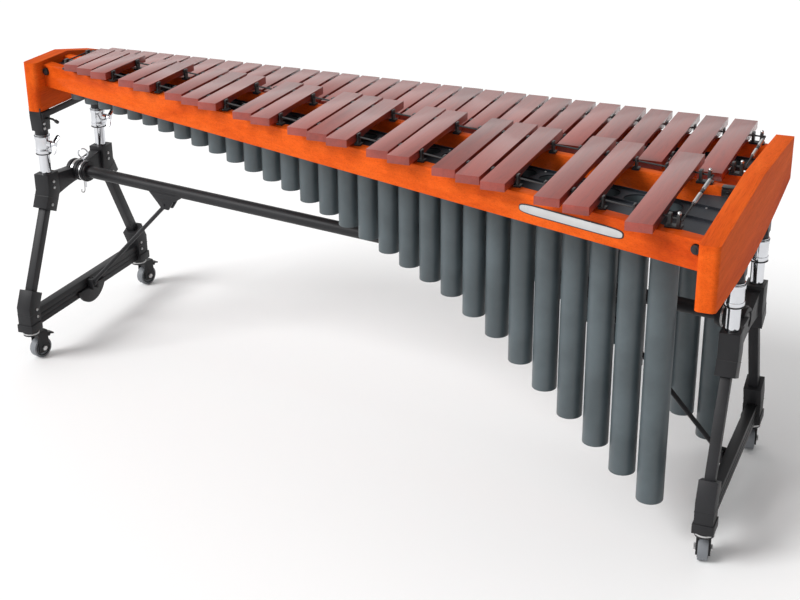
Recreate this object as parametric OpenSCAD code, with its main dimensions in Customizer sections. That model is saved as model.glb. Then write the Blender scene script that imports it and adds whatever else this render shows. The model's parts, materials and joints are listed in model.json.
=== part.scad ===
// Concert marimba of 4 1/3 octaves on a height-adjustable trolley stand.
// +X is the low-note end, -Y the side of the accidentals, +Z up.
// Origin: middle of the footprint, on the floor. Millimetres.

/* [Keyboard] */
// X of the outer edge of the lowest bar
key_x0 = 959; // [940:1:975]
// Length of the row of natural bars
key_len = 1932; // [1850:1:1945]
// Width of the lowest bar
bar_w_low = 57; // [50:0.5:60]
// Width of the highest bar
bar_w_high = 47; // [40:0.5:49]
// Thickness of a bar
bar_t = 19; // [16:0.5:22]
// Height of the tops of the natural bars above the floor
natural_top = 834.5; // [800:0.5:900]
// How far the accidentals stand above the naturals
accidental_rise = 47.5; // [40:0.5:60]
// Diameter of the suspension cord
cord_d = 4; // [3:0.5:5]

/* [Frame] */
// X of the inner faces of the two end blocks
block_in = 1009; // [1000:1:1020]
// Thickness of an end block
block_t = 44; // [30:1:50]
// Height of the top of an end block
block_top = 862.5; // [855:0.5:880]
// Height of a rail
rail_h = 64; // [50:1:75]
// Gap between a rail and the bars over it
rail_gap = 10; // [8:0.5:14]

/* [Resonators] */
// Wall of a resonator tube
tube_wall = 1.6; // [1:0.1:3]
// Share of the bar pitch that a resonator tube fills
tube_share = 0.86; // [0.7:0.01:0.9]
// Gap between a natural bar and its resonator plate
resonator_gap = 25; // [15:1:40]

/* [Stand] */
// X of the leg frames
leg_x = 1030; // [1020:1:1040]
// Y of the middle of the high-end leg frame
high_y = 260; // [240:1:280]
// Y of the middle of the low-end leg frame
low_y = -92; // [-110:1:-70]
// Half the distance between the two height tubes of an end
tube_half = 143; // [130:1:150]
// Half the distance between the feet of the high end
high_foot_half = 296; // [270:1:310]
// Half the distance between the feet of the low end
low_foot_half = 279; // [270:1:310]
// Outer diameter of a height tube
height_tube_d = 32; // [28:1:34]
// Top of the knuckle castings
knuckle_top = 533; // [500:1:560]
// Height of the bend in a knuckle
knuckle_bend = 478; // [460:1:490]
// Outer diameter of the stretcher tube
stretcher_d = 35; // [30:1:40]
// Height of the axis of the stretcher tube
stretcher_z = 500; // [480:1:520]

/* [Casters] */
// Diameter of a wheel
wheel_d = 62; // [50:1:70]
// Width of a wheel
wheel_w = 24; // [20:1:28]
// Trail of a wheel behind its swivel axis
trail = 28; // [15:1:35]
// Direction of the trail of the high-end casters
high_trail_angle = 75; // [0:5:90]
// Direction of the trail of the low-end casters
low_trail_angle = 100; // [60:5:140]

/* [Hidden] */
// Y of the middle of the footprint, in the Y that the sizes below are given in.
y_middle = 21;
$fn = 48;

wood = "chocolate";
bar_wood = "rosybrown";
slate = "slategray";
black = "dimgray";
chrome = "gainsboro";

// Which gap between two naturals carries an accidental, counted from the low end.
naturals = 31;
accidentals = [0, 2, 3, 5, 6, 7, 9, 10, 12, 13, 14, 16, 17, 19, 20, 21, 23, 24, 26, 27, 28];

// Heights
accidental_top = natural_top + accidental_rise;
natural_cord_z = natural_top - bar_t / 2;
accidental_cord_z = accidental_top - bar_t / 2;
natural_rail_top = natural_top - bar_t - rail_gap;
accidental_rail_top = accidental_top - bar_t - rail_gap;
natural_plate_top = natural_top - bar_t - resonator_gap;
accidental_plate_top = accidental_top - bar_t - resonator_gap;

// Natural bars stand at a pitch that narrows towards the high end.
pitch_knots = [[0, 74.5], [3, 70.3], [6, 66], [10, 61.2], [22, 61.8], [25, 57.8], [30, 54.3]];
raw_pitch = [for (i = [0 : naturals - 1]) lookup(i, pitch_knots)];
function total(v, i = 0) = i == len(v) ? 0 : v[i] + total(v, i + 1);
pitch = raw_pitch * (key_len / total(raw_pitch));
edge = [for (i = 0, x = key_x0; i <= naturals; x = x - (i < naturals ? pitch[i] : 0), i = i + 1) x];
function natural_x(i) = (edge[i] + edge[i + 1]) / 2;
function bar_w(i) = bar_w_low + (bar_w_high - bar_w_low) * i / (naturals - 1);

// The four ends of the two rows of bars, as Y over X.
function accidental_near(x) = -250 - 0.3567 * x;
function accidental_far(x) = 78 - 0.19 * x;
function natural_near(x) = 114 - 0.1764 * x - 0.0000245 * x * x;
function natural_far(x) = 398 - 0.0312 * x - 0.0000077 * x * x;

// Straight lines across the keyboard: [Y at X = 0, slope].
function line_y(l, x) = l[0] + l[1] * x;
function shift(l, d) = [l[0] + d, l[1]];
accidental_front_cord = [-183, -0.3225];
accidental_rear_cord = [12, -0.2233];
natural_front_cord = [163, -0.145];
natural_rear_cord = [328, -0.0612];
front_rail_face = [-208, -0.3346];
front_rail_t = 34;
inner_rail_t = 26;
natural_rail_t = 22;
accidental_bank = [-86, -0.2734];
natural_bank = [247, -0.1035];

// Places of the posts: beside every bar, with a wider one at each free end.
accidental_end_posts = [938, -905];
natural_end_posts = [968, -987];

// Resonators: diameter follows the pitch, length falls towards the high end.
tube_len_knots = [[0, 712], [6, 415], [8, 344], [12, 258], [16, 183], [20, 133], [24, 102], [30, 76]];
natural_tube_share = 1.033;
function tube_d(i) = tube_share * pitch[min(i, naturals - 1)];
function tube_len(i) = lookup(i, tube_len_knots);
function tube_drift(i) = 6 - 0.3 * i;
function accidental_tube_x(i) = edge[i + 1] + tube_drift(i);
function natural_tube_x(i) = natural_x(i) + tube_drift(i);
plate_t = 3;
fold_h = 5;
fold_t = 1.5;

// End blocks: [front, rear, Y where the top starts to fall, sag of the underside].
high_block = [92, 424, 252, 1];
low_block = [-590, 300, -125, 32];
block_rear_top = 826;
block_front_bottom = 722;

// Leg frames: [side, middle, half the distance of the feet].
high = [-1, high_y, high_foot_half];
low = [1, low_y, low_foot_half];
frames = [high, low];
ends = [-1, 1];
knuckle_w = 47;
knuckle_d = 53;
knuckle_drop = 56;
leg_w = 24;
leg_d = 27;
foot_bend = 168;
foot_w = 44;
foot_d = 50;
foot_bottom = 96;
foot_seam = 120;
swivel_top = 134;
crossbar_z = 103;
crossbar_h = 50;
crossbar_w = 26;
collar_bottom = 590;
collar_top = 650;
collar_d = 42;
socket_bottom = 662;
running = 0.05;
height_tube_top = 760;
stretcher_slope = (low_y - high_y) / (2 * leg_x);
stretcher_angle = atan(stretcher_slope);
pin_d = 6;
disc_r = 75;
disc_bottom = 72;
disc_top = 123;
brace_top = [683, 453];
brace_foot = [1003, 136];
// Angle of a frame's legs from the vertical.
function splay(f) = atan((f[2] - tube_half) / (knuckle_bend - foot_bend));

module on_line(x, l, z) translate([x, line_y(l, x), z]) rotate([0, 0, atan(l[1])]) children();

// A rod along a straight line of the keyboard, between two X.
module line_rod(l, x0, x1, z, d) {
  c = cos(atan(l[1]));
  translate([x0, line_y(l, x0), z]) rotate([0, 90, atan(l[1])]) cylinder(d = d, h = (x1 - x0) / c);
}

module rod_between(a, b, d) {
  v = b - a;
  l = norm(v);
  translate(a) rotate([0, acos(v[2] / l), atan2(v[1], v[0])]) cylinder(d = d, h = l);
}

// ---------------------------------------------------------------- frame
module rail(face, t, top) {
  color(wood) translate([0, 0, top - rail_h]) linear_extrude(rail_h) polygon([
    [-block_in, line_y(face, -block_in)],
    [block_in, line_y(face, block_in)],
    [block_in, line_y(face, block_in) + t],
    [-block_in, line_y(face, -block_in) + t]
  ]);
}

module front_rail() {
  difference() {
    rail(front_rail_face, front_rail_t, accidental_rail_top);
    rail_bolt_places() translate([0, 4, 0]) rotate([90, 0, 0]) cylinder(d = 24, h = 20);
  }
}
module accidental_inner_rail() rail(shift(accidental_rear_cord, -7), inner_rail_t, accidental_rail_top);
module natural_inner_rail() rail(shift(natural_front_cord, -9), natural_rail_t, natural_rail_top);
module rear_rail() rail(shift(natural_rear_cord, -9), natural_rail_t, natural_rail_top);

module rail_bolt_places() {
  for (s = ends) on_line(s * (block_in - 12), front_rail_face, accidental_rail_top - 19) children();
}

// Cap bolts that hold the front rail to the end blocks.
module rail_bolts() {
  color(black) rail_bolt_places() {
    translate([0, 4, 0]) rotate([90, 0, 0]) cylinder(d = 20, h = 10);
    translate([0, -5, 0]) rotate([90, 0, 0]) cylinder(d = 11, h = 3);
  }
}

// Side outline of an end block in Y and Z.
function block_outline(b) = concat(
  [[b[0], block_front_bottom], [b[0], block_top], [b[2], block_top], [b[1] - 12, block_rear_top + 2],
   [b[1], block_rear_top - 10]],
  [for (t = [1 : -0.1 : 0.05]) [b[0] + t * (b[1] - b[0]), block_front_bottom - b[3] * sin(180 * t)]]
);

module block_blank(side, b) {
  r = 13;
  x0 = side > 0 ? block_in : -block_in - block_t;
  intersection() {
    translate([x0, 0, 0]) rotate([90, 0, 90]) linear_extrude(block_t) polygon(block_outline(b));
    translate([x0, b[0], 600]) linear_extrude(400) union() {
      translate([0, r]) square([block_t, b[1] - b[0] - 2 * r]);
      translate([r, 0]) square([block_t - 2 * r, b[1] - b[0]]);
      for (x = [r, block_t - r]) for (y = [r, b[1] - b[0] - r]) translate([x, y]) circle(r = r);
    }
  }
}

module end_block(side, b, mid) {
  color(wood) difference() {
    block_blank(side, b);
    for (e = ends)
      translate([side * leg_x, mid + e * tube_half, 600]) cylinder(d = height_tube_d + 1, h = 218);
  }
}
module high_end_block() end_block(-1, high_block, high_y);
module low_end_block() end_block(1, low_block, low_y);

// Steel straps that join the sockets: under the high end block, and on the inside of the low one.
socket_w = 38;
strap_t = 6;
module end_straps() {
  color(black) {
    high_strap();
    low_strap();
  }
}
module high_strap() {
  translate([-leg_x + socket_w / 2, high_y - tube_half - 20, 702]) cube([strap_t, 2 * tube_half + 40, 18]);
}
module low_strap() {
  translate([block_in - strap_t, low_y - tube_half - 20, 676]) cube([strap_t, 2 * tube_half + 40, 34]);
}

module at_tubes() {
  for (f = frames) for (e = ends) translate([f[0] * leg_x, f[1] + e * tube_half, 0]) children();
}

// Sockets under the end blocks, with the necks above the clamp collars.
module leg_sockets() {
  color(black) difference() {
    at_tubes() {
      translate([-socket_w / 2, 0, socket_bottom]) rotate([90, 0, 90]) linear_extrude(socket_w)
        polygon([[-18, 0], [18, 0], [22, 40], [22, 70], [-22, 70], [-22, 40]]);
      translate([0, 0, collar_top + 0.5]) cylinder(d = 38, h = socket_bottom - collar_top);
    }
    block_blank(-1, high_block);
    block_blank(1, low_block);
    at_tubes() translate([0, 0, 600]) cylinder(d = height_tube_d + 1, h = 200);
  }
}

// Split clamp collars, each with a boss for its wing screw on the inner side.
module clamp_collars() {
  color(chrome) for (f = frames) for (e = ends) difference() {
    translate([f[0] * leg_x, f[1] + e * tube_half, 0]) clamp_collar(f);
    at_tubes() translate([0, 0, collar_bottom - 1]) cylinder(d = height_tube_d + 2 * running, h = 70);
  }
}
module clamp_collar(f) {
  difference() {
    union() {
      translate([0, 0, collar_bottom]) cylinder(d = collar_d, h = collar_top - collar_bottom);
      translate([0, 0, collar_bottom + 6]) cylinder(d = collar_d + 3, h = 8);
      translate([0, 0, collar_top - 14]) cylinder(d = collar_d + 3, h = 8);
      translate([0, 0, 622]) rotate([0, -90 * f[0], 0]) cylinder(d = 20, h = 31);
    }
    translate([0, 0, 622]) rotate([0, -90 * f[0], 0]) cylinder(d = 8 + 2 * running, h = 40);
    rotate([0, 0, f[0] > 0 ? 180 : 0]) translate([-30, -1.5, collar_bottom - 1]) cube([14, 3, 70]);
  }
}

// Wing screw that presses on the height tube through the collar's boss.
module wing_screw(f, e) {
  color(chrome) translate([f[0] * leg_x, f[1] + e * tube_half, 622]) rotate([0, -90 * f[0], 0]) {
    translate([0, 0, height_tube_d / 2 + 0.4]) cylinder(d = 8, h = 20);
    translate([0, 0, 32]) cylinder(d = 15, h = 13);
    for (a = [0, 180]) rotate([0, 0, a - 35]) translate([0, -2.5, 32]) rotate([-90, 0, 0])
      linear_extrude(5) hull() {
        translate([2, -6]) circle(d = 11, $fn = 32);
        translate([22, -13]) circle(d = 13, $fn = 32);
      }
  }
}
module wing_screw_high_front() wing_screw(high, -1);
module wing_screw_high_rear() wing_screw(high, 1);
module wing_screw_low_front() wing_screw(low, -1);
module wing_screw_low_rear() wing_screw(low, 1);

// ---------------------------------------------------------------- keyboard
// A bar, thinned from below by its tuning arch, drilled across at its two nodes.
module bar(x, w, y0, y1, top, front_cord, rear_cord, depth) {
  l = y1 - y0;
  chord = 0.52 * l;
  r = (chord * chord / 4 + depth * depth) / (2 * depth);
  color(bar_wood) difference() {
    translate([x - w / 2, y0, top - bar_t]) cube([w, l, bar_t]);
    translate([x - w, (y0 + y1) / 2, top - bar_t + depth - r]) rotate([0, 90, 0])
      cylinder(r = r, h = 2 * w, $fn = 240);
    line_rod(front_cord, x - w, x + w, top - bar_t / 2, cord_d + 3);
    line_rod(rear_cord, x - w, x + w, top - bar_t / 2, cord_d + 3);
  }
}

module natural_bar(i) {
  x = natural_x(i);
  bar(x, bar_w(i), natural_near(x), natural_far(x), natural_top,
      natural_front_cord, natural_rear_cord, 9 - 0.24 * i);
}
module accidental_bar(b) {
  x = edge[b + 1];
  bar(x, bar_w(b), accidental_near(x), accidental_far(x), accidental_top,
      accidental_front_cord, accidental_rear_cord, 9 - 0.24 * b);
}
module natural_bars_1() for (i = [0 : 6]) natural_bar(i);
module natural_bars_2() for (i = [7 : 13]) natural_bar(i);
module natural_bars_3() for (i = [14 : 20]) natural_bar(i);
module natural_bars_4() for (i = [21 : 30]) natural_bar(i);
module accidental_bars_1() for (k = [0 : 6]) accidental_bar(accidentals[k]);
module accidental_bars_2() for (k = [7 : 13]) accidental_bar(accidentals[k]);
module accidental_bars_3() for (k = [14 : 20]) accidental_bar(accidentals[k]);

// A post on the rail: a foot, and blades with an eye for the cord at these X.
prong = 10;
prong_w = 7;
post_w = 4.5;
post_d = 15;
post_foot_h = 5;
module post(xs, w, slope) {
  h = bar_t + rail_gap - 1;
  foot = 2 * max(xs) + max(w, 16);
  difference() {
    union() {
      translate([-foot / 2, -10, -rail_gap]) cube([foot, 18, post_foot_h]);
      for (x = xs) translate([x - w / 2, slope * x - post_d / 2, -rail_gap]) cube([w, post_d, h]);
    }
    rotate([0, 0, atan(slope)]) translate([-30, 0, bar_t / 2]) rotate([0, 90, 0])
      cylinder(d = cord_d + 1, h = 60);
  }
}

// A plain post stands beside every bar, a two-pronged one at each free end.
module posts(l, xs, end_xs, z) {
  color(black) {
    for (x = xs) translate([x, line_y(l, x), z]) post([0], post_w, l[1]);
    for (x = end_xs) translate([x, line_y(l, x), z]) post([-prong, prong], prong_w, l[1]);
  }
}
accidental_posts = [for (i = [1 : 28]) natural_x(i)];
natural_posts = [for (i = [1 : naturals - 1]) edge[i]];
module accidental_front_posts()
  posts(accidental_front_cord, accidental_posts, accidental_end_posts, accidental_top - bar_t);
module accidental_rear_posts()
  posts(accidental_rear_cord, accidental_posts, accidental_end_posts, accidental_top - bar_t);
module natural_front_posts()
  posts(natural_front_cord, natural_posts, natural_end_posts, natural_top - bar_t);
module natural_rear_posts()
  posts(natural_rear_cord, natural_posts, natural_end_posts, natural_top - bar_t);

// The suspension cord runs through all the posts of a row and crosses over at both ends.
// At the low end a pair of tension springs spans this share of the crossing.
spring_span = [0.34, 0.92];
spring_d = 9;
tail = 17;
// A ball clip sits on the cord at each of its four corners.
corner_ball_d = 6.5;
module cord_loop(front, rear, x, z) {
  tails = [x[0] + tail, x[1] - tail];
  a = [for (l = [front, rear]) for (t = tails) [t, line_y(l, t), z]];
  v = a[2] - a[0];
  color("dimgray") {
    for (c = a) translate(c) sphere(d = corner_ball_d);
    line_rod(front, tails[1], tails[0], z, cord_d);
    line_rod(rear, tails[1], tails[0], z, cord_d);
    rod_between(a[1], a[3], cord_d);
    rod_between(a[0] - v / norm(v), a[0] + v * spring_span[0], cord_d);
    rod_between(a[0] + v * spring_span[1], a[2] + v / norm(v), cord_d);
  }
}
module accidental_cord()
  cord_loop(accidental_front_cord, accidental_rear_cord, accidental_end_posts, accidental_cord_z);
module natural_cord()
  cord_loop(natural_front_cord, natural_rear_cord, natural_end_posts, natural_cord_z);

module cord_spring(front, rear, x, z) {
  a = [x + tail, line_y(front, x + tail), z];
  v = [x + tail, line_y(rear, x + tail), z] - a;
  color(chrome) rod_between(a + v * spring_span[0], a + v * spring_span[1], spring_d);
}
module cord_springs() {
  cord_spring(accidental_front_cord, accidental_rear_cord, accidental_end_posts[0], accidental_cord_z);
  cord_spring(natural_front_cord, natural_rear_cord, natural_end_posts[0], natural_cord_z);
}

// ---------------------------------------------------------------- resonators
module resonator(x, l, d, len, top) {
  color(slate) translate([x, line_y(l, x), top - len]) difference() {
    cylinder(d = d, h = len);
    translate([0, 0, 2]) cylinder(d = d - 2 * tube_wall, h = len);
  }
}
module natural_resonators() {
  for (i = [0 : naturals - 1])
    resonator(natural_tube_x(i), natural_bank, tube_d(i), natural_tube_share * tube_len(i),
              natural_plate_top - plate_t);
}
module accidental_resonators() {
  for (b = [0 : naturals - 2])
    resonator(accidental_tube_x(b), accidental_bank, tube_d(b), tube_len(b), accidental_plate_top - plate_t);
}

plate_end = block_in - 1;
// Upturned fold along a resonator plate.
module plate_fold(l) {
  translate([0, 0, plate_t - 0.5]) linear_extrude(fold_h + 0.5) polygon([
    [-plate_end, line_y(l, -plate_end)], [plate_end, line_y(l, plate_end)],
    [plate_end, line_y(l, plate_end) + fold_t], [-plate_end, line_y(l, -plate_end) + fold_t]
  ]);
}
module natural_resonator_plate() {
  near = shift(natural_bank, -31);
  far = shift(natural_bank, 31);
  color(slate) translate([0, 0, natural_plate_top - plate_t]) {
    plate_fold([near[0] - 1.5, near[1] - 0.0055]);
    plate_fold([far[0] + 0.1, far[1] + 0.005]);
  }
  color(slate) translate([0, 0, natural_plate_top - plate_t]) difference() {
    linear_extrude(plate_t) polygon([
      [-plate_end, line_y(near, -plate_end) + 4], [plate_end, line_y(near, plate_end) - 7],
      [plate_end, line_y(far, plate_end) + 7], [-plate_end, line_y(far, -plate_end) - 4]
    ]);
    for (i = [0 : naturals - 1])
      on_line(natural_tube_x(i), natural_bank, -1) cylinder(d = tube_d(i) - 2 * tube_wall, h = 5);
  }
}

// The accidentals' plate reaches from its tubes to the front rail.
module accidental_resonator_plate() {
  near = shift(front_rail_face, front_rail_t + 5);
  far = [-49, -0.269];
  color(slate) translate([0, 0, accidental_plate_top - plate_t]) {
    plate_fold(shift(far, -fold_t));
    plate_fold([-117, -0.2795]);
  }
  color(slate) translate([0, 0, accidental_plate_top - plate_t]) difference() {
    linear_extrude(plate_t) union() {
      polygon([
        [-plate_end, line_y(near, -plate_end)], [plate_end, line_y(near, plate_end)],
        [plate_end, line_y(far, plate_end)], [-plate_end, line_y(far, -plate_end)]
      ]);
      translate([edge[0] - 26, line_y(far, edge[0]) - 20]) square([plate_end - edge[0] + 26, 98]);
    }
    for (b = [0 : naturals - 2])
      on_line(accidental_tube_x(b), accidental_bank, -1) cylinder(d = tube_d(b) - 2 * tube_wall, h = 5);
  }
}

// Angle brackets on the end blocks that carry the ends of the resonator plates.
module resonator_brackets() {
  color(black) for (s = ends) {
    resonator_bracket(s, line_y(accidental_bank, s * block_in), accidental_plate_top - plate_t);
    resonator_bracket(s, line_y(natural_bank, s * block_in), natural_plate_top - plate_t);
  }
}
module resonator_bracket(s, y, z) {
  translate([s > 0 ? block_in - 22 : -block_in, y - 19, z - 5]) cube([22, 38, 4.7]);
  translate([s > 0 ? block_in - 4 : -block_in, y - 19, z - 30]) cube([4, 38, 25]);
}

// ---------------------------------------------------------------- stand
module height_tubes() {
  color(chrome) at_tubes() translate([0, 0, knuckle_bend + 2]) difference() {
    cylinder(d = height_tube_d, h = height_tube_top - knuckle_bend - 2);
    translate([0, 0, -1]) cylinder(d = height_tube_d - 5, h = 400);
  }
}

// Splayed legs, from the bend of each knuckle down.
leg_start = 22;
leg_wall = 2;
module legs(inset, lap) {
  for (f = frames) for (e = ends) {
    l = (knuckle_bend - foot_bend) / cos(splay(f)) - 6 - leg_start;
    translate([f[0] * leg_x, f[1] + e * tube_half, knuckle_bend]) rotate([180 + e * splay(f), 0, 0])
      translate([inset - leg_w / 2, inset - leg_d / 2, leg_start - lap])
        cube([leg_w - 2 * inset, leg_d - 2 * inset, l + 2 * lap]);
  }
}
module leg_tubes() {
  color(black) difference() {
    legs(0, 0);
    legs(leg_wall, 1);
  }
}

// Outline in Y and Z of a casting bent by the splay angle: up and down are the lengths of its two arms.
// The upper arm leans by lean_up and the lower arm by lean_down, one of them zero.
function arm(len, lean, w) = [len * sin(lean) + w * cos(lean), len * cos(lean) - w * sin(lean)];
module bent(w, up, lean_up, down, lean_down, x) {
  mitre = tan(max(abs(lean_up), abs(lean_down)) / 2);
  rotate([90, 0, 90]) translate([0, 0, -x / 2]) linear_extrude(x) polygon([
    arm(up, lean_up, -w), arm(up, lean_up, w),
    [w, w * mitre],
    -arm(down, lean_down, -w), -arm(down, lean_down, w),
    [-w, -w * mitre]
  ]);
}
module mirrored_ends(f, half) {
  for (e = ends) translate([f[0] * leg_x, f[1] + e * half, 0]) mirror([0, e < 0 ? 1 : 0, 0]) children();
}

// Bent castings that turn the vertical height tubes into the splayed legs.
module leg_knuckles() {
  color(black) difference() {
    for (f = frames) mirrored_ends(f, tube_half) translate([0, 0, knuckle_bend])
      bent(knuckle_d / 2, knuckle_top - knuckle_bend, 0, knuckle_drop, -splay(f), knuckle_w);
    at_tubes() translate([0, 0, knuckle_bend + 2]) cylinder(d = height_tube_d, h = 200);
    legs(0, 0);
  }
}

// Foot castings: a splayed sleeve on the leg, then an upright block over the caster.
module foot_castings() {
  color(black) difference() {
    for (f = frames) mirrored_ends(f, f[2]) {
      translate([0, 0, foot_bend]) bent(foot_d / 2, 48, -splay(f), foot_bend - foot_seam, 0, foot_w);
      translate([-foot_w / 2 - 3, -foot_d / 2, foot_bottom])
        cube([foot_w + 6, foot_d + 3, foot_seam - foot_bottom]);
    }
    legs(0, 0);
    for (f = frames) mirrored_ends(f, f[2]) cylinder(d = stem_d + 2 * running, h = swivel_top);
  }
}

// Crossbars between the feet, with two grooves along each side.
module crossbars() {
  wall = 3;
  color(black) for (f = frames) translate([f[0] * leg_x, f[1], crossbar_z]) difference() {
    l = 2 * f[2] - foot_d;
    translate([-crossbar_w / 2, -l / 2, 0]) cube([crossbar_w, l, crossbar_h]);
    translate([-crossbar_w / 2 + wall, -l, wall]) cube([crossbar_w - 2 * wall, 2 * l, crossbar_h - 2 * wall]);
    for (s = ends) for (z = [16, 30])
      translate([s * (crossbar_w / 2 + 0.5) - 1.5, -l, z]) cube([3, 2 * l, 4]);
  }
}

// Round-bottomed plates under the crossbars, each with the pin that the brace hooks on.
plate_depth = 8;
module brace_plates() {
  color(black) for (f = frames) {
    translate([0, f[1], 0]) mirror([f[0] > 0 ? 0 : 1, 0, 0]) intersection() {
      translate([leg_x - crossbar_w / 2 - plate_depth, 0, disc_bottom + disc_r]) rotate([0, 90, 0])
        cylinder(r = disc_r, h = plate_depth);
      translate([leg_x - 60, -disc_r, disc_bottom]) cube([60, 2 * disc_r, disc_top - disc_bottom]);
    }
    brace_plane(f) {
      for (y = [-13, 7]) translate([along(brace_foot[0]) - 10, y, disc_top - 6]) cube([20, 6, 32]);
      translate([along(brace_foot[0]), 0, brace_foot[1]]) rotate([90, 0, 0])
        cylinder(d = 10, h = 26, center = true);
    }
  }
}

// Arched casting between the two knuckles of an end, with the collar for the stretcher.
yoke_half = tube_half - knuckle_d / 2;
function yoke_edge(t, z, rise) = [(2 * t - 1) * yoke_half, z + rise * sin(180 * t)];
module yoke(f) {
  color(black) difference() {
    translate([f[0] * leg_x, f[1], 0]) {
      translate([-15, 0, 0]) rotate([90, 0, 90]) linear_extrude(30) polygon(concat(
        [for (t = [0 : 0.1 : 1.01]) yoke_edge(t, 524, -12)],
        [for (t = [1 : -0.1 : -0.01]) yoke_edge(t, 458, 14)]));
      rotate([0, 90, stretcher_angle]) translate([-stretcher_z, 0, -f[0] * 25 - 35]) {
        cylinder(d = 56, h = 70);
        translate([0, 0, 6]) cylinder(d = 62, h = 8);
        translate([0, 0, 31]) cylinder(d = 62, h = 8);
        translate([0, 0, 56]) cylinder(d = 62, h = 8);
      }
    }
    stretcher_axis() cylinder(d = stretcher_d, h = 3000, center = true);
    hitch_place(f) cylinder(d = pin_d + 2 * running, h = 100, center = true);
  }
}
module high_yoke() yoke(high);
module low_yoke() yoke(low);

module stretcher_axis() {
  translate([0, (high_y + low_y) / 2, stretcher_z]) rotate([0, 90, stretcher_angle]) children();
}
module hitch_place(f) {
  x = f[0] * (leg_x - 38);
  translate([x, (high_y + low_y) / 2 + stretcher_slope * x, stretcher_z]) children();
}
module stretcher_tube() {
  l = (2 * leg_x + 12) / cos(stretcher_angle);
  color(black) difference() {
    stretcher_axis() cylinder(d = stretcher_d, h = l, center = true);
    stretcher_axis() cylinder(d = stretcher_d - 5, h = l + 2, center = true);
    for (f = frames) hitch_place(f) cylinder(d = pin_d + 2 * running, h = 100, center = true);
  }
}

// Pull pin with a ring that locks the stretcher in its yoke.
module hitch_pin(f) {
  color(chrome) hitch_place(f) {
    translate([0, 0, -52]) cylinder(d = pin_d, h = 88);
    translate([0, 0, 36]) cylinder(d = 11, h = 5);
    translate([0, 0, 54]) rotate([90, 0, 20]) rotate_extrude() translate([14, 0]) circle(d = 4);
  }
}
module high_hitch_pin() hitch_pin(high);
module low_hitch_pin() hitch_pin(low);

// Place and direction of a brace: X measured from the middle towards its own end, along the stretcher.
module brace_plane(f) {
  translate([0, (high_y + low_y) / 2, 0]) rotate([0, 0, stretcher_angle])
    mirror([f[0] > 0 ? 0 : 1, 0, 0]) children();
}
function along(x) = x / cos(stretcher_angle);

// Gussets under the stretcher with the pivot pins of the braces.
module brace_brackets() {
  color(black) difference() {
    for (f = frames) brace_plane(f) gusset_pair();
    stretcher_axis() cylinder(d = stretcher_d, h = 3000, center = true);
  }
}
module gusset_pair() {
  for (y = [-12, 7]) translate([0, y + 5, 0]) rotate([90, 0, 0]) linear_extrude(5) polygon([
      [along(615), stretcher_z - 12], [along(738), stretcher_z - 12], [along(706), stretcher_z - 44],
      [along(692), stretcher_z - 60], [along(668), stretcher_z - 60], [along(650), stretcher_z - 34]
    ]);
  translate([along(brace_top[0]), 0, brace_top[1]]) rotate([90, 0, 0]) cylinder(d = 8, h = 30, center = true);
}

// Diagonal brace: an eye on the gusset's pin at the top and an open hook at the foot.
module brace(f) {
  top = [along(brace_top[0]), brace_top[1]];
  foot = [along(brace_foot[0]), brace_foot[1]];
  v = foot - top;
  l = norm(v);
  u = v / l;
  color(black) brace_plane(f) difference() {
    union() {
      translate([top[0], 0, top[1]]) rotate([90, 0, 0]) cylinder(d = 22, h = 12, center = true);
      rod_between([top[0], 0, top[1]], [foot[0] - 6 * u[0], 0, foot[1] - 6 * u[1]], 12);
      translate([foot[0], 0, foot[1]]) rotate([90, 0, 0]) cylinder(d = 24, h = 12, center = true);
    }
    translate([top[0], 0, top[1]]) rotate([90, 0, 0]) cylinder(d = 8 + 2 * running, h = 40, center = true);
    translate([foot[0], 0, foot[1]]) rotate([90, 0, 0]) cylinder(d = 11, h = 40, center = true);
    translate([foot[0], -20, foot[1]]) rotate([0, -atan2(u[0], -u[1]), 0]) translate([0, 0, -5.5])
      cube([30, 40, 11]);
  }
}
module high_brace() brace(high);
module low_brace() brace(low);

// ---------------------------------------------------------------- casters
function trail_angle(f) = f[0] < 0 ? high_trail_angle : low_trail_angle;
module at_caster(f, e) {
  translate([f[0] * leg_x, f[1] + e * f[2], 0]) rotate([0, 0, trail_angle(f)]) children();
}
axle_d = 8;
stem_d = 12;
cheek_gap = wheel_w + 2;
crown_h = 13.5;
crown_z = foot_bottom - crown_h - 0.5;

// Swivel fork: stem, crown, two cheeks and the axle.
module caster_fork(f, e) {
  color(black) at_caster(f, e) {
    translate([0, 0, crown_z + 2]) cylinder(d = stem_d, h = swivel_top - crown_z - 4);
    translate([0, 0, crown_z]) cylinder(d = 46, h = crown_h);
    difference() {
      translate([trail - 18, -cheek_gap / 2 - 4, wheel_d / 2 - 12])
        cube([36, cheek_gap + 8, crown_z - wheel_d / 2 + 14]);
      translate([trail - 40, -cheek_gap / 2, -1]) cube([80, cheek_gap, wheel_d + 6]);
    }
    translate([trail, 0, wheel_d / 2]) rotate([90, 0, 0])
      cylinder(d = axle_d, h = cheek_gap + 12, center = true);
  }
}
module caster_wheel(f, e) {
  color("silver") at_caster(f, e) translate([trail, 0, wheel_d / 2]) rotate([90, 0, 0]) difference() {
    cylinder(d = wheel_d, h = wheel_w, center = true);
    cylinder(d = axle_d + 2 * running, h = 60, center = true);
    for (s = ends) translate([0, 0, s * wheel_w / 2]) difference() {
      cylinder(d = wheel_d - 16, h = 6, center = true);
      cylinder(d = 20, h = 8, center = true);
    }
  }
}
brake_pin = [trail + 24, wheel_d / 2 + 34];
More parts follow.
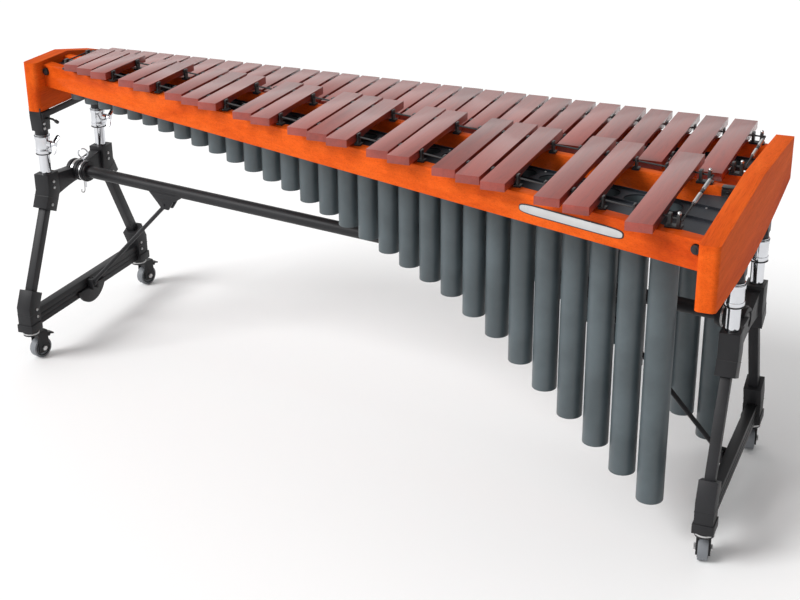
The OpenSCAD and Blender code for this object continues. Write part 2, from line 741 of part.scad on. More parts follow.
// Foot pedal of the brake, behind the crown.
module brake_pedal(f, e) {
  color(black) at_caster(f, e) translate([brake_pin[0], 0, brake_pin[1]]) {
    rotate([90, 0, 0]) cylinder(d = 9, h = cheek_gap + 4, center = true);
    translate([0, -12, 1]) rotate([0, 14, 0]) cube([20, 24, 4]);
  }
}
module caster_fork_high_front() caster_fork(high, -1);
module caster_fork_high_rear() caster_fork(high, 1);
module caster_fork_low_front() caster_fork(low, -1);
module caster_fork_low_rear() caster_fork(low, 1);
module caster_wheel_high_front() caster_wheel(high, -1);
module caster_wheel_high_rear() caster_wheel(high, 1);
module caster_wheel_low_front() caster_wheel(low, -1);
module caster_wheel_low_rear() caster_wheel(low, 1);
module brake_pedal_high_front() brake_pedal(high, -1);
module brake_pedal_high_rear() brake_pedal(high, 1);
module brake_pedal_low_front() brake_pedal(low, -1);
module brake_pedal_low_rear() brake_pedal(low, 1);

module placed() translate([0, -y_middle, 0]) children();

placed() front_rail();
placed() accidental_inner_rail();
placed() natural_inner_rail();
placed() rear_rail();
placed() high_end_block();
placed() low_end_block();
placed() rail_bolts();
placed() natural_bars_1();
placed() natural_bars_2();
placed() natural_bars_3();
placed() natural_bars_4();
placed() accidental_bars_1();
placed() accidental_bars_2();
placed() accidental_bars_3();
placed() accidental_front_posts();
placed() accidental_rear_posts();
placed() natural_front_posts();
placed() natural_rear_posts();
placed() accidental_cord();
placed() natural_cord();
placed() cord_springs();
placed() natural_resonators();
placed() accidental_resonators();
placed() natural_resonator_plate();
placed() accidental_resonator_plate();
placed() resonator_brackets();
placed() end_straps();
placed() leg_sockets();
placed() clamp_collars();
placed() wing_screw_high_front();
placed() wing_screw_high_rear();
placed() wing_screw_low_front();
placed() wing_screw_low_rear();
placed() height_tubes();
placed() leg_knuckles();
placed() leg_tubes();
placed() foot_castings();
placed() crossbars();
placed() brace_plates();
placed() high_yoke();
placed() low_yoke();
placed() stretcher_tube();
placed() brace_brackets();
placed() high_brace();
placed() low_brace();
placed() high_hitch_pin();
placed() low_hitch_pin();
placed() caster_fork_high_front();
placed() caster_fork_high_rear();
placed() caster_fork_low_front();
placed() caster_fork_low_rear();
placed() caster_wheel_high_front();
placed() caster_wheel_high_rear();
placed() caster_wheel_low_front();
placed() caster_wheel_low_rear();
placed() brake_pedal_high_front();
placed() brake_pedal_high_rear();
placed() brake_pedal_low_front();
placed() brake_pedal_low_rear();
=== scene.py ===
"""Concert marimba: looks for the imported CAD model, in the CAD frame, in metres."""

import json
import math

import bpy
from mathutils import Matrix, Vector


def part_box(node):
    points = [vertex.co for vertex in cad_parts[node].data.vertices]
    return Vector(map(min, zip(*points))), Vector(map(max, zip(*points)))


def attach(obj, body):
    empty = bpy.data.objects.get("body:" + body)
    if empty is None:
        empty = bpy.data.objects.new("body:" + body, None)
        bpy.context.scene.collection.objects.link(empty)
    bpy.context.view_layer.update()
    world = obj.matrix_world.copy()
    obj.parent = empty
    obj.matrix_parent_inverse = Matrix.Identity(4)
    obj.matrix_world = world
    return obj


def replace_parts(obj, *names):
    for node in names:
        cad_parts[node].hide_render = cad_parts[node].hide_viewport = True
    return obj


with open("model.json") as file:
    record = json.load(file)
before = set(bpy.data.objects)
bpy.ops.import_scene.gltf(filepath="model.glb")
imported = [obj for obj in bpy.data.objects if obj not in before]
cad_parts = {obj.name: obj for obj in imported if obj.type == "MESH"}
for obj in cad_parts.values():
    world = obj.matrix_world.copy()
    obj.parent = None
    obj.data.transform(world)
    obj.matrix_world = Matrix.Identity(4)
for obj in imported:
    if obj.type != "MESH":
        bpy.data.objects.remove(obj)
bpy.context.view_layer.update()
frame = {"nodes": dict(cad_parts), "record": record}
joints = {j["name"]: j for j in frame["record"]["behaviour"]["joints"]}
ENDS = {"high": -1, "low": 1}
SIDES = {"front": -1, "rear": 1}
X, Y, Z = Vector((1, 0, 0)), Vector((0, 1, 0)), Vector((0, 0, 1))

# Heights of the stand's bends and of the stretcher, and the X of its two leg frames.
KNUCKLE_BEND, FOOT_BEND = 0.478, 0.168
STRETCHER_Z = 0.500
LEG_X = 1.03
# Slopes of the keyboard's long lines: Y over X.
FRONT_RAIL_SLOPE = -0.3346
POST_SLOPES = {"accidental_front": -0.3225, "accidental_rear": -0.2233,
               "natural_front": -0.145, "natural_rear": -0.0612}
PLATE_SLOPES = {"accidental": -0.269, "natural": -0.109}


# ---------------------------------------------------------------- camera and light
def make_camera():
    """The camera stands at the audience side, right of the low end, above the bars."""
    data = bpy.data.cameras.new("camera")
    data.sensor_width = 36.0
    data.lens = 67.74
    data.clip_end = 60.0
    camera = bpy.data.objects.new("camera", data)
    bpy.context.collection.objects.link(camera)
    turn = Matrix.Rotation(0.4013, 4, "Z")
    tilt = Matrix.Rotation(math.pi / 2 - 0.4145, 4, "X")
    roll = Matrix.Rotation(-0.0104, 4, "Z")
    camera.matrix_world = Matrix.Translation((1.5342, -3.3266, 1.9435)) @ turn @ tilt @ roll
    bpy.context.scene.camera = camera


def make_light():
    """A bright room that falls off to the right, and a broad soft key light from the left."""
    world = bpy.data.worlds.new("studio")
    world.use_nodes = True
    nodes, links = world.node_tree.nodes, world.node_tree.links
    split = nodes.new("ShaderNodeSeparateXYZ")
    falloff = nodes.new("ShaderNodeMapRange")
    falloff.inputs["From Min"].default_value = -0.5
    falloff.inputs["From Max"].default_value = 0.9
    falloff.inputs["To Min"].default_value = 1.0
    falloff.inputs["To Max"].default_value = 0.16
    links.new(nodes.new("ShaderNodeTexCoord").outputs["Generated"], split.inputs[0])
    links.new(split.outputs["X"], falloff.inputs["Value"])
    links.new(falloff.outputs["Result"], nodes["Background"].inputs["Strength"])
    nodes["Background"].inputs["Color"].default_value = (1, 1, 1, 1)
    bpy.context.scene.world = world
    data = bpy.data.lights.new("key", "SUN")
    data.energy = 2.25
    data.angle = math.radians(28)
    key = bpy.data.objects.new("key", data)
    bpy.context.collection.objects.link(key)
    key.rotation_euler = Vector((0.60, 0.62, -0.66)).to_track_quat("-Z", "Y").to_euler()
    bpy.context.scene.view_settings.view_transform = "Standard"


def make_floor():
    """A plain pale floor that runs past every view."""
    mesh = bpy.data.meshes.new("floor")
    half = 40
    mesh.from_pydata([(-half, -half, 0), (half, -half, 0), (half, half, 0), (-half, half, 0)],
                     [], [(0, 1, 2, 3)])
    floor = bpy.data.objects.new("floor", mesh)
    bpy.context.collection.objects.link(floor)
    material = bpy.data.materials.new("floor")
    material.use_nodes = True
    main = material.node_tree.nodes["Principled BSDF"]
    main.inputs["Base Color"].default_value = (0.97, 0.97, 0.97, 1)
    main.inputs["Roughness"].default_value = 0.7
    mesh.materials.append(material)


# ---------------------------------------------------------------- materials
class Shader:
    """A small builder for one Principled material."""

    def __init__(self, name, rough, metal=0.0, coat=0.0, coat_rough=0.1, specular=0.5):
        self.material = bpy.data.materials.new(name)
        self.material.use_nodes = True
        self.nodes = self.material.node_tree.nodes
        self.links = self.material.node_tree.links
        self.main = self.nodes["Principled BSDF"]
        self.main.inputs["Roughness"].default_value = rough
        self.main.inputs["Metallic"].default_value = metal
        self.main.inputs["Coat Weight"].default_value = coat
        self.main.inputs["Coat Roughness"].default_value = coat_rough
        self.main.inputs["Specular IOR Level"].default_value = specular
        self.place = self.nodes.new("ShaderNodeTexCoord").outputs["Object"]

    def link(self, a, b):
        self.links.new(a, b)

    def stretched(self, scale, shift=None):
        """Object coordinates scaled by axis, moved by a value that differs from piece to piece."""
        mapping = self.nodes.new("ShaderNodeMapping")
        mapping.inputs["Scale"].default_value = scale
        self.link(self.place, mapping.inputs["Vector"])
        if shift is not None:
            offset = self.nodes.new("ShaderNodeCombineXYZ")
            for axis in range(3):
                self.link(shift, offset.inputs[axis])
            self.link(offset.outputs[0], mapping.inputs["Location"])
        return mapping.outputs[0]

    def noise(self, vector, scale, detail=4.0, rough=0.55, twist=0.0):
        node = self.nodes.new("ShaderNodeTexNoise")
        node.inputs["Scale"].default_value = scale
        node.inputs["Detail"].default_value = detail
        node.inputs["Roughness"].default_value = rough
        node.inputs["Distortion"].default_value = twist
        self.link(vector, node.inputs["Vector"])
        return node.outputs["Fac"]

    def ramp(self, value, stops):
        node = self.nodes.new("ShaderNodeValToRGB")
        while len(node.color_ramp.elements) < len(stops):
            node.color_ramp.elements.new(0.5)
        for element, (at, colour) in zip(node.color_ramp.elements, stops):
            element.position = at
            element.color = (*colour, 1)
        self.link(value, node.inputs["Fac"])
        return node.outputs["Color"]

    def times(self, colour, by, amount):
        node = self.nodes.new("ShaderNodeMix")
        node.data_type = "RGBA"
        node.blend_type = "MULTIPLY"
        node.inputs["Factor"].default_value = amount
        self.link(colour, node.inputs[6])
        self.link(by, node.inputs[7])
        return node.outputs[2]

    def spread(self, value, low, high):
        node = self.nodes.new("ShaderNodeMapRange")
        node.inputs["To Min"].default_value = low
        node.inputs["To Max"].default_value = high
        self.link(value, node.inputs["Value"])
        return node.outputs["Result"]

    def bump(self, height, strength, distance=0.001):
        node = self.nodes.new("ShaderNodeBump")
        node.inputs["Strength"].default_value = strength
        node.inputs["Distance"].default_value = distance
        self.link(height, node.inputs["Height"])
        self.link(node.outputs["Normal"], self.main.inputs["Normal"])

    def island(self):
        """A value from 0 to 1 that differs from one bar to the next."""
        return self.nodes.new("ShaderNodeNewGeometry").outputs["Random Per Island"]


def wood(name, along, stain, coat, coat_rough, specular, tone=None):
    """Stained wood under lacquer, its grain along one axis: fibres, growth figure and pores."""
    dark, light, streak = stain
    s = Shader(name, 0.45, coat=coat, coat_rough=coat_rough, specular=specular)
    shift = None
    if tone:
        shift = s.spread(s.island(), 0, 40)

    def grain(across, length):
        return s.stretched(tuple(length if a == along else across for a in range(3)), shift)

    figure = s.noise(grain(9, 0.9), 1.0, 5, 0.6, 0.6)
    fibre = s.noise(grain(120, 3), 1.0, 4, 0.7)
    pores = s.noise(grain(600, 22), 1.0, 2, 0.6)
    colour = s.ramp(figure, [(0.30, dark), (0.50, light), (0.72, streak)])
    colour = s.times(colour, s.ramp(fibre, [(0.3, (0.72, 0.66, 0.62)), (0.65, (1, 1, 1))]), 0.55)
    colour = s.times(colour, s.ramp(pores, [(0.36, (0.45, 0.36, 0.33)), (0.46, (1, 1, 1))]), 0.30)
    if tone:
        colour = s.times(colour, s.ramp(s.island(), tone), 1.0)
    s.link(colour, s.main.inputs["Base Color"])
    s.link(s.spread(fibre, 0.36, 0.52), s.main.inputs["Roughness"])
    s.bump(fibre, 0.10, 0.0006)
    return s.material


def painted(name, colour, rough, grain, bump=0.12, specular=0.5):
    """Powder-coated or moulded surface: fine orange peel, slight patches of wear in colour and gloss."""
    s = Shader(name, rough, specular=specular)
    patch = s.noise(s.stretched((1, 1, 1)), 9, 5)
    peel = s.noise(s.stretched((1, 1, 1)), grain, 2)
    darker = tuple(c * 0.82 for c in colour)
    lighter = tuple(c * 1.14 for c in colour)
    s.link(s.ramp(patch, [(0.35, darker), (0.65, lighter)]), s.main.inputs["Base Color"])
    s.link(s.spread(patch, rough * 0.85, rough * 1.15), s.main.inputs["Roughness"])
    s.bump(peel, bump, 0.0004)
    return s.material


def plated(name, colour, rough):
    """Bright metal with faint polishing lines and smudges."""
    s = Shader(name, rough, 1.0)
    smudge = s.noise(s.stretched((1, 1, 1)), 22, 4)
    lines = s.noise(s.stretched((60, 60, 900)), 1, 2)
    darker = tuple(c * 0.88 for c in colour)
    s.link(s.ramp(smudge, [(0.3, darker), (0.7, colour)]), s.main.inputs["Base Color"])
    s.link(s.spread(smudge, rough * 0.7, rough * 1.5), s.main.inputs["Roughness"])
    s.bump(lines, 0.04, 0.0003)
    return s.material


def braided(name, colour):
    """Braided cord: short slanting strands."""
    s = Shader(name, 0.8)
    strands = s.noise(s.stretched((900, 500, 700)), 1, 1, 0.4, 1.5)
    darker = tuple(c * 0.35 for c in colour)
    s.link(s.ramp(strands, [(0.4, darker), (0.6, colour)]), s.main.inputs["Base Color"])
    s.bump(strands, 0.6, 0.0006)
    return s.material


# Stains are dark, light and streak. Tones make one bar a little darker than the next.
FRAME_STAIN = ((0.50, 0.056, 0.006), (0.70, 0.100, 0.010), (0.80, 0.135, 0.016))
BAR_STAIN = ((0.19, 0.018, 0.010), (0.33, 0.040, 0.022), (0.25, 0.028, 0.016))
BAR_TONES = [(0.0, (0.78, 0.74, 0.74)), (0.35, (0.95, 0.95, 0.95)),
             (0.7, (1.0, 0.98, 0.96)), (1.0, (0.88, 0.84, 0.82))]
MATERIALS = {
    "rail_wood": wood("rail_wood", 0, FRAME_STAIN, 0.12, 0.16, 0.0),
    "block_wood": wood("block_wood", 1, FRAME_STAIN, 0.07, 0.20, 0.0),
    "bar_wood": wood("bar_wood", 1, BAR_STAIN, 0.78, 0.20, 0.4, BAR_TONES),
    "resonator_metal": painted("resonator_metal", (0.066, 0.085, 0.094), 0.42, 1400),
    # The plates get a darker copy of the resonator paint: painted shade, since they lie under the bars.
    "shaded_plate_metal": painted("shaded_plate_metal", (0.026, 0.030, 0.038), 0.52, 1400, specular=0.3),
    "stand_metal": painted("stand_metal", (0.018, 0.018, 0.020), 0.46, 1100, 0.2, 0.25),
    "seam": painted("seam", (0.008, 0.008, 0.009), 0.6, 900),
    "post_plastic": painted("post_plastic", (0.012, 0.012, 0.013), 0.42, 1500),
    "cord": braided("cord", (0.05, 0.05, 0.052)),
    "steel": plated("steel", (0.62, 0.62, 0.62), 0.28),
    "chrome": plated("chrome", (0.70, 0.71, 0.74), 0.08),
    "wheel_rubber": painted("wheel_rubber", (0.17, 0.18, 0.195), 0.55, 500, 0.3),
}


# ---------------------------------------------------------------- modifiers on every mesh
def smooth_group():
    """Geometry nodes that shade smooth, except at edges sharper than 32 degrees."""
    tree = bpy.data.node_groups.new("smooth_shade", "GeometryNodeTree")
    tree.interface.new_socket("Geometry", in_out="INPUT", socket_type="NodeSocketGeometry")
    tree.interface.new_socket("Geometry", in_out="OUTPUT", socket_type="NodeSocketGeometry")
    start, end = tree.nodes.new("NodeGroupInput"), tree.nodes.new("NodeGroupOutput")
    faces, edges = tree.nodes.new("GeometryNodeSetShadeSmooth"), tree.nodes.new("GeometryNodeSetShadeSmooth")
    faces.domain = "FACE"
    edges.domain = "EDGE"
    edges.inputs["Shade Smooth"].default_value = False
    angle = tree.nodes.new("GeometryNodeInputMeshEdgeAngle")
    sharp = tree.nodes.new("FunctionNodeCompare")
    sharp.operation = "GREATER_THAN"
    sharp.inputs[1].default_value = math.radians(32)
    tree.links.new(angle.outputs["Unsigned Angle"], sharp.inputs[0])
    tree.links.new(start.outputs[0], faces.inputs["Geometry"])
    tree.links.new(faces.outputs[0], edges.inputs["Geometry"])
    tree.links.new(sharp.outputs[0], edges.inputs["Selection"])
    tree.links.new(edges.outputs[0], end.inputs[0])
    return tree


SMOOTH = smooth_group()


def finish_mesh(obj, material, bevel=0.0, segments=2):
    """Joins and rounds the edges of a mesh, shades it and gives it its material."""
    if bevel:
        weld = obj.modifiers.new("weld", "WELD")
        weld.merge_threshold = 0.00002
        flat = obj.modifiers.new("flat", "DECIMATE")
        flat.decimate_type = "DISSOLVE"
        flat.angle_limit = math.radians(0.3)
        edge = obj.modifiers.new("edge", "BEVEL")
        edge.width = bevel
        edge.segments = segments
        edge.limit_method = "ANGLE"
        edge.angle_limit = math.radians(38)
        edge.use_clamp_overlap = True
    obj.modifiers.new("shade", "NODES").node_group = SMOOTH
    obj.data.materials.clear()
    obj.data.materials.append(MATERIALS[material])


def piece(name, verts, faces, material, body, bevel=0.0):
    """A new mesh that rides on a CAD body."""
    mesh = bpy.data.meshes.new(name)
    mesh.from_pydata([tuple(v) for v in verts], [], faces)
    mesh.update()
    obj = bpy.data.objects.new(name, mesh)
    bpy.context.collection.objects.link(obj)
    finish_mesh(obj, material, bevel)
    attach(obj, body)
    return obj


# ---------------------------------------------------------------- shapes
def circle(centre, radius, a, b, count=40):
    """Points of a circle in the plane of two unit vectors."""
    turns = (2 * math.pi * k / count for k in range(count))
    return [centre + radius * (math.cos(t) * a + math.sin(t) * b) for t in turns]


class Shape:
    """Collects vertices and faces of one piece."""

    def __init__(self):
        self.verts, self.faces = [], []

    def add(self, verts, faces):
        n = len(self.verts)
        self.verts += [Vector(v) for v in verts]
        self.faces += [tuple(n + i for i in f) for f in faces]

    def sweep(self, points, radius, sides=8, closed=False):
        """A round wire along points."""
        points = [Vector(p) for p in points]
        count = len(points)
        side = None
        rings = []
        for i, p in enumerate(points):
            before = points[i - 1] if closed or i else p
            after = points[(i + 1) % count] if closed or i < count - 1 else p
            along = (after - before).normalized()
            if side is None:
                side = along.orthogonal().normalized()
            side = (side - along * side.dot(along)).normalized()
            rings += circle(p, radius, side, along.cross(side), sides)
        faces = []
        for i in range(count if closed else count - 1):
            a, b = i * sides, ((i + 1) % count) * sides
            faces += [(a + k, a + (k + 1) % sides, b + (k + 1) % sides, b + k) for k in range(sides)]
        if not closed:
            faces.append(tuple(range(sides - 1, -1, -1)))
            faces.append(tuple((count - 1) * sides + k for k in range(sides)))
        self.add(rings, faces)

    def lathe(self, base, axis, profile, sides=24):
        """A turned shape: profile is (radius, height) from base up, closed at both ends."""
        axis = Vector(axis).normalized()
        side = axis.orthogonal().normalized()
        rings = []
        for r, h in profile:
            rings += circle(Vector(base) + axis * h, r, side, axis.cross(side), sides)
        faces = []
        for i in range(len(profile) - 1):
            a, b = i * sides, (i + 1) * sides
            faces += [(a + k, a + (k + 1) % sides, b + (k + 1) % sides, b + k) for k in range(sides)]
        faces.append(tuple(range(sides - 1, -1, -1)))
        faces.append(tuple((len(profile) - 1) * sides + k for k in range(sides)))
        self.add(rings, faces)

    def block(self, centre, half, axes=(X, Y, Z)):
        """A box with the given half sizes along three axes."""
        corners = [Vector(centre) + sum((axes[k] * half[k] * s for k, s in enumerate(signs)), Vector())
                   for signs in ((-1, -1, -1), (1, -1, -1), (1, 1, -1), (-1, 1, -1),
                                 (-1, -1, 1), (1, -1, 1), (1, 1, 1), (-1, 1, 1))]
        self.add(corners, [(3, 2, 1, 0), (4, 5, 6, 7), (0, 1, 5, 4),
                           (1, 2, 6, 5), (2, 3, 7, 6), (3, 0, 4, 7)])

    def band(self, centre, half, height, proud, axes=(X, Y, Z)):
        """A thin band around a box section: four strips in one closed ring, sunk a little into it."""
        sunk = 0.0005
        corners = [(1, 1), (-1, 1), (-1, -1), (1, -1)]
        rings = []
        for z in (-height / 2, height / 2):
            for d in (sunk, -proud):
                rings += [Vector(centre) + axes[0] * (sx * (half[0] - d)) + axes[1] * (sy * (half[1] - d))
                          + axes[2] * z for sx, sy in corners]
        faces = []
        for k in range(4):
            n = (k + 1) % 4
            faces += [(4 + k, 4 + n, 12 + n, 12 + k), (k, 8 + k, 8 + n, n),
                      (8 + k, 12 + k, 12 + n, 8 + n), (k, n, 4 + n, 4 + k)]
        self.add(rings, faces)

    def make(self, name, material, body, slot, bevel=0.0):
        return piece(name, self.verts, self.faces, material, body, bevel)


def screw_profile(r, h):
    """Button-head screw with a socket in its face."""
    return [(r * 0.97, -0.0004), (r, h * 0.35), (r * 0.86, h * 0.80), (r * 0.62, h), (r * 0.44, h),
            (r * 0.40, h * 0.45), (r * 0.02, h * 0.40)]


def helix(a, b, radius, turns, hook):
    """Points of a tension spring from a to b, with a loop turned up at each end."""
    a, b = Vector(a), Vector(b)
    along = (b - a).normalized()
    side = along.orthogonal().normalized()
    other = along.cross(side)
    start, end = a + along * hook, b - along * hook
    steps = 12
    count = int(turns * steps)
    coil = []
    for k in range(count + 1):
        t = 2 * math.pi * k / steps
        coil.append(start.lerp(end, k / count) + radius * (math.cos(t) * side + math.sin(t) * other))
    return [a, a + along * hook * 0.6] + coil + [b - along * hook * 0.6, b]


# ---------------------------------------------------------------- CAD nodes
# Width of the rounded edges, by a word in the node's name.
BEVELS = {
    "rail": 0.0025, "block": 0.009, "bars": 0.0016, "knuckles": 0.0028, "foot": 0.0028, "crossbars": 0.0015,
    "leg_tubes": 0.0022, "yoke": 0.0022, "sockets": 0.0022, "straps": 0.0012, "posts": 0.0006,
    "brace_plates": 0.0012, "brackets": 0.0009, "caster_wheel": 0.0030, "caster_fork": 0.0012,
    "brake_pedal": 0.0014, "wing_screw": 0.0010, "brace": 0.0009, "resonators": 0.0008, "bolts": 0.0008,
    "collars": 0.0010, "pin": 0.0005,
}


def finish_cad():
    """Rounds the edges of every CAD node and gives it the material of its slot."""
    for part in frame["record"]["subparts"]:
        name, slot = part["node"], part["material_slot"]
        if slot == "frame_wood":
            slot = "block_wood" if "block" in name else "rail_wood"
        # Resonator plates take the darker copy of the resonator paint, which is painted shade under the
        # bars.
        if "plate" in name and slot == "resonator_metal":
            slot = "shaded_plate_metal"
        bevel = next((w for key, w in BEVELS.items() if key in name), 0.0)
        finish_mesh(frame["nodes"][name], slot, bevel, 4 if "block" in name else 2)


# ---------------------------------------------------------------- keyboard pieces
def make_springs():
    """Two tension springs in line at the low end of each cord, hooked on a black link."""
    coils, links = Shape(), Shape()
    coil_r, wire_r, coil_pitch, hook = 0.0036, 0.0010, 0.0034, 0.010
    joint = [(0.0020, 0), (0.0040, 0.002), (0.0042, 0.010), (0.0040, 0.018), (0.0020, 0.020)]
    ferrule = [(0.0022, 0), (0.0034, 0.001), (0.0036, 0.010), (0.0024, 0.012)]
    for row in ("accidental", "natural"):
        a, b = spring_line(row)
        along = (b - a).normalized()
        middle = (a + b) / 2
        turns = (b - a).length / 2 / coil_pitch
        coils.sweep(helix(a - along * 0.002, middle - along * 0.006, coil_r, turns, hook), wire_r, 6)
        coils.sweep(helix(middle + along * 0.006, b + along * 0.002, coil_r, turns, hook), wire_r, 6)
        links.lathe(middle - along * 0.010, along, joint, 16)
        for end, way in ((a, 1), (b, -1)):
            links.lathe(end - along * way * 0.008, along * way, ferrule, 16)
    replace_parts(coils.make("tension_springs", "steel", "keyboard", "steel"), "cord_springs")
    links.make("spring_links", "post_plastic", "keyboard", "post_plastic")


def spring_line(row):
    """Ends of a row's springs: the middles of the two ends of the CAD rod that stands for them."""
    low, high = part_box("cord_springs")
    split = (low[2] + high[2]) / 2
    end_depth = 0.012
    vertices = (v.co.copy() for v in frame["nodes"]["cord_springs"].data.vertices)
    own = [p for p in vertices if (p.z > split) == (row == "accidental")]
    front, rear = min(p.y for p in own), max(p.y for p in own)
    ends = ([p for p in own if p.y < front + end_depth], [p for p in own if p.y > rear - end_depth])
    return [sum(points, Vector()) / len(points) for points in ends]


def make_post_caps():
    """Bright ball studs on the end posts and the small clip on the accidentals' inner rail."""
    ball = [(0.0028, 0), (0.0040, 0.0016), (0.0044, 0.0040), (0.0038, 0.0064), (0.0022, 0.0080),
            (0.0004, 0.0086)]
    studs = Shape()
    for row, slope in POST_SLOPES.items():
        low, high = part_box(row + "_posts")
        place = (high[0] - 0.008, low[1] + 0.010 + 0.010 * slope, high[2] - 0.0008)
        studs.lathe(place, Z, ball, 16)
    studs.make("post_studs", "steel", "keyboard", "steel")
    rail_low, rail_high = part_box("accidental_inner_rail")
    inset = 0.016
    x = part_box("low_end_block")[0][0] - inset
    y = rail_low[1] - 0.0015 - POST_SLOPES["accidental_rear"] * inset
    top = rail_high[2]
    clip = Shape()
    clip.block((x, y, top - 0.010), (0.014, 0.0022, 0.008))
    clip.block((x, y + 0.008, top + 0.0012), (0.014, 0.0100, 0.0018))
    clip.lathe((x, y - 0.0020, top - 0.010), -Y, screw_profile(0.0045, 0.003))
    clip.make("rail_clip", "post_plastic", "keyboard", "post_plastic", 0.0006)


def make_name_plate():
    """Slim blank metal plate with rounded ends, on the front rail."""
    low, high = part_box("front_rail")
    along = Vector((1, FRONT_RAIL_SLOPE, 0)).normalized()
    out = Vector((FRONT_RAIL_SLOPE, -1, 0)).normalized()
    x = 0.71
    face = Vector((x, low[1] - FRONT_RAIL_SLOPE * (high[0] - x), (low[2] + high[2]) / 2))
    count = 48
    outline = []
    for k in range(count):
        c, s = math.cos(2 * math.pi * k / count), math.sin(2 * math.pi * k / count)
        outline.append((math.copysign(abs(c) ** 0.25, c), math.copysign(abs(s) ** 0.6, s)))
    plates = (("name_plate_rim", "post_plastic", 0.134, 0.0118, 0.0014),
              ("name_plate", "steel", 0.1315, 0.0094, 0.0022))
    for name, material, half_length, half_height, lift in plates:
        shape = Shape()
        verts = [face + along * u * half_length + Z * v * half_height + out * d
                 for d in (-0.0005, lift) for u, v in outline]
        faces = [(k, (k + 1) % count, count + (k + 1) % count, count + k) for k in range(count)]
        faces += [tuple(range(count - 1, -1, -1)), tuple(range(count, 2 * count))]
        shape.add(verts, faces)
        shape.make(name, material, "keyboard", material, 0.0004)


def tube_place(end, side):
    return Vector(joints[f"wing_screw_{end}_{side}_turn"]["pos_m"])


def foot_place(end, side):
    return Vector(joints[f"caster_{end}_{side}_swivel"]["pos_m"])


def make_socket_details():
    """Catch levers on the sockets, their cross bolts and a dark ring at each end of every collar."""
    levers, bolts, rings = Shape(), Shape(), Shape()
    socket_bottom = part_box("leg_sockets")[0][2]
    collar_low, collar_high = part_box("clamp_collars")
    knob = [(0.0034, 0), (0.0050, 0.002), (0.0052, 0.010), (0.0036, 0.013)]
    for end, out in ENDS.items():
        for side in SIDES:
            p = tube_place(end, side)
            top = socket_bottom + 0.046
            inner = p.x - out * 0.019
            # Each step of a lever: how far it is from the socket, sideways and up.
            path = ((-0.002, 0.004, 0.0), (0.010, 0.004, 0.001),
                    (0.020, 0.006, -0.001), (0.030, 0.006, -0.006))
            levers.sweep([(inner - out * a, p.y + b, top + c) for a, b, c in path], 0.0032, 10)
            levers.lathe((inner - out * 0.027, p.y + 0.006, top - 0.004), (-out, 0, -0.5), knob, 14)
            for lift in (0.020, 0.034):
                bolts.lathe((inner, p.y - 0.010, socket_bottom + lift), (-out, 0, 0),
                            screw_profile(0.0046, 0.003), 16)
            for z, r in ((collar_low[2] + 0.002, 0.0218), (collar_high[2] - 0.003, 0.0216)):
                rings.sweep(circle(Vector((p.x, p.y, z)), r, X, Y), 0.0011, 8, True)
    levers.make("catch_levers", "post_plastic", "keyboard", "post_plastic")
    bolts.make("socket_bolts", "steel", "keyboard", "steel")
    rings.make("collar_rings", "seam", "keyboard", "stand_metal")


def make_resonator_details():
    """A row of rivets along the inner edge of each resonator plate."""
    rivets = Shape()
    count, margin, fold_height = 16, 0.04, 0.005
    rivet = [(0.0025, -0.0004), (0.0025, 0.0008), (0.0017, 0.0016), (0.0004, 0.0019)]
    for row, slope in PLATE_SLOPES.items():
        low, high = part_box(row + "_resonator_plate")
        # The accidentals' row follows the far edge, the naturals' the near one.
        x0, y0 = (low[0], high[1] - 0.0055) if row == "accidental" else (high[0], low[1] + 0.0045)
        for k in range(count):
            x = low[0] + margin + (high[0] - low[0] - 2 * margin) * k / (count - 1)
            rivets.lathe((x, y0 + slope * (x - x0), high[2] - fold_height), Z, rivet, 12)
    rivets.make("plate_rivets", "steel", "keyboard", "steel")


# ---------------------------------------------------------------- stand pieces
def make_seams():
    """Parting lines of the knuckle and foot castings, and the screws that clamp them."""
    seams, screws = Shape(), Shape()
    seam_z, knuckle_half, foot_half = 0.150, (0.0235, 0.0265), (0.022, 0.025)
    for end, out in ENDS.items():
        inward = (-out, 0, 0)
        for side, way in SIDES.items():
            p, f = tube_place(end, side), foot_place(end, side)
            lean = math.atan2(abs(f.y - p.y), KNUCKLE_BEND - FOOT_BEND)
            down = Vector((0, way * math.sin(lean), -math.cos(lean)))
            across = Vector((0, math.cos(lean), way * math.sin(lean)))
            bend = Vector((p.x, p.y, KNUCKLE_BEND))
            seams.band(bend + down * 0.020, knuckle_half, 0.0016, 0.0005, (X, across, down))
            seams.band(Vector((f.x, f.y, seam_z)), foot_half, 0.0014, 0.0005)
            for place in (bend + Z * 0.030, bend + Z * 0.012, bend + down * 0.040):
                screws.lathe(place - X * out * knuckle_half[0], inward, screw_profile(0.0045, 0.003), 16)
            for z in (0.160, 0.138):
                screws.lathe((f.x - out * foot_half[0], f.y - way * 0.010, z), inward,
                             screw_profile(0.0042, 0.0028), 16)
    seams.make("casting_seams", "seam", "stand", "stand_metal")
    screws.make("casting_screws", "steel", "stand", "steel")


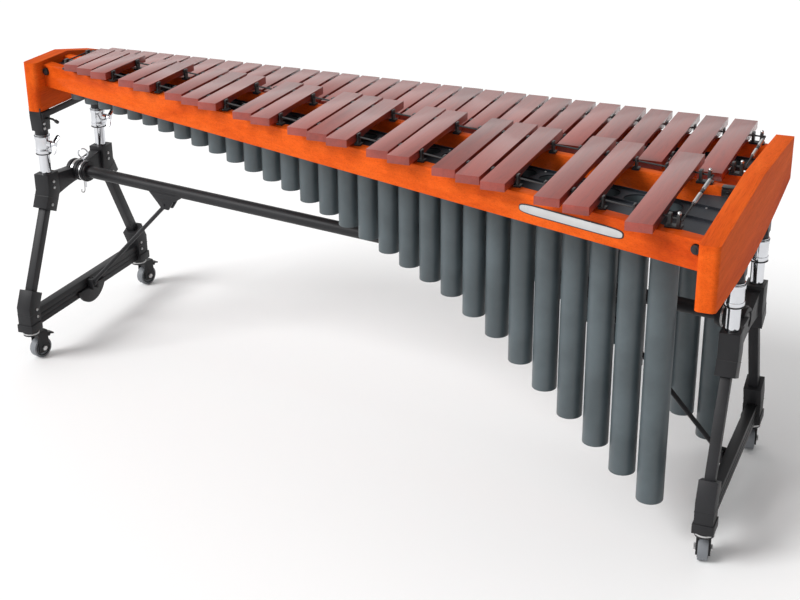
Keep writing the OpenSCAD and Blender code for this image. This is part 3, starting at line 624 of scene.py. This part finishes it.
def make_yoke_details():
    """Wire keepers wound on each yoke's collar, the hook that hangs there and the stretcher's end caps."""
    wires, caps = Shape(), Shape()
    tube_low, tube_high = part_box("stretcher_tube")
    slope = (tube_place("low", "front").y - tube_place("high", "front").y) / (2 * LEG_X)
    along = Vector((1, slope, 0)).normalized()
    side = Vector((-along.y, along.x, 0))
    middle_y = (tube_low[1] + tube_high[1]) / 2

    def on_axis(x):
        return Vector((x, middle_y + slope * x, STRETCHER_Z))

    collar_r, wire_r = 0.0292, 0.0013
    keeper_x, hook_x, cap_x = (0.9855, 0.9883, 1.0147, 1.0175, 1.0203), 0.998, 1.0355
    cap = [(0.0150, 0), (0.0182, 0.001), (0.0184, 0.004), (0.0160, 0.0065), (0.0060, 0.0072)]
    for out in ENDS.values():
        for x in keeper_x:
            wires.sweep(circle(on_axis(out * x), collar_r, side, Z), wire_r, 6, True)
        top = on_axis(out * hook_x) - Z * 0.029
        hook = [top + Z * 0.004, top - Z * 0.010, top - Z * 0.026]
        for k in range(11):
            t = -k * math.pi / 8
            hook.append(top - Z * 0.032 + 0.007 * (math.cos(t) * side + math.sin(t) * Z) - side * 0.007)
        wires.sweep(hook, 0.0017, 8)
        caps.lathe(on_axis(out * cap_x) - along * out * 0.002, along * out, cap, 32)
    wires.make("keeper_wires", "steel", "stand", "steel")
    caps.make("stretcher_caps", "post_plastic", "stand", "post_plastic")


def make_caster_details():
    """Axle nuts and a ball race on every fork, and a hub ring on each side of every wheel."""
    nut = [(0.0078, 0), (0.0080, 0.001), (0.0080, 0.0042), (0.0066, 0.0052), (0.0012, 0.0054)]
    race = [(0.0205, -0.0035), (0.0238, -0.0020), (0.0244, 0.0000), (0.0238, 0.0020), (0.0205, 0.0035)]
    race_z = 0.0888
    # Seats of the nuts and rings along the axle, from the middle of the wheel.
    nut_seat, ring_seat = 0.0168, 0.0118
    ring_r = 0.0240
    for end in ENDS:
        for side in SIDES:
            name = f"{end}_{side}"
            roll = joints[f"caster_{name}_roll"]
            hub, axle = Vector(roll["pos_m"]), Vector(roll["axis"]).normalized()
            swivel = foot_place(end, side)
            nuts, rings = Shape(), Shape()
            for way in (1, -1):
                nuts.lathe(hub + axle * way * nut_seat, axle * way, nut, 6)
                ring = circle(hub + axle * way * ring_seat, ring_r, Z, axle.cross(Z))
                rings.sweep(ring, 0.0013, 6, True)
            nuts.lathe((swivel.x, swivel.y, race_z), Z, race, 40)
            nuts.make(f"caster_nuts_{name}", "steel", f"caster_fork_{name}", "steel")
            rings.make(f"wheel_ring_{name}", "seam", f"caster_wheel_{name}", "wheel_rubber")


make_camera()
make_light()
make_floor()
finish_cad()
make_springs()
make_post_caps()
make_name_plate()
make_socket_details()
make_resonator_details()
make_seams()
make_yoke_details()
make_caster_details()
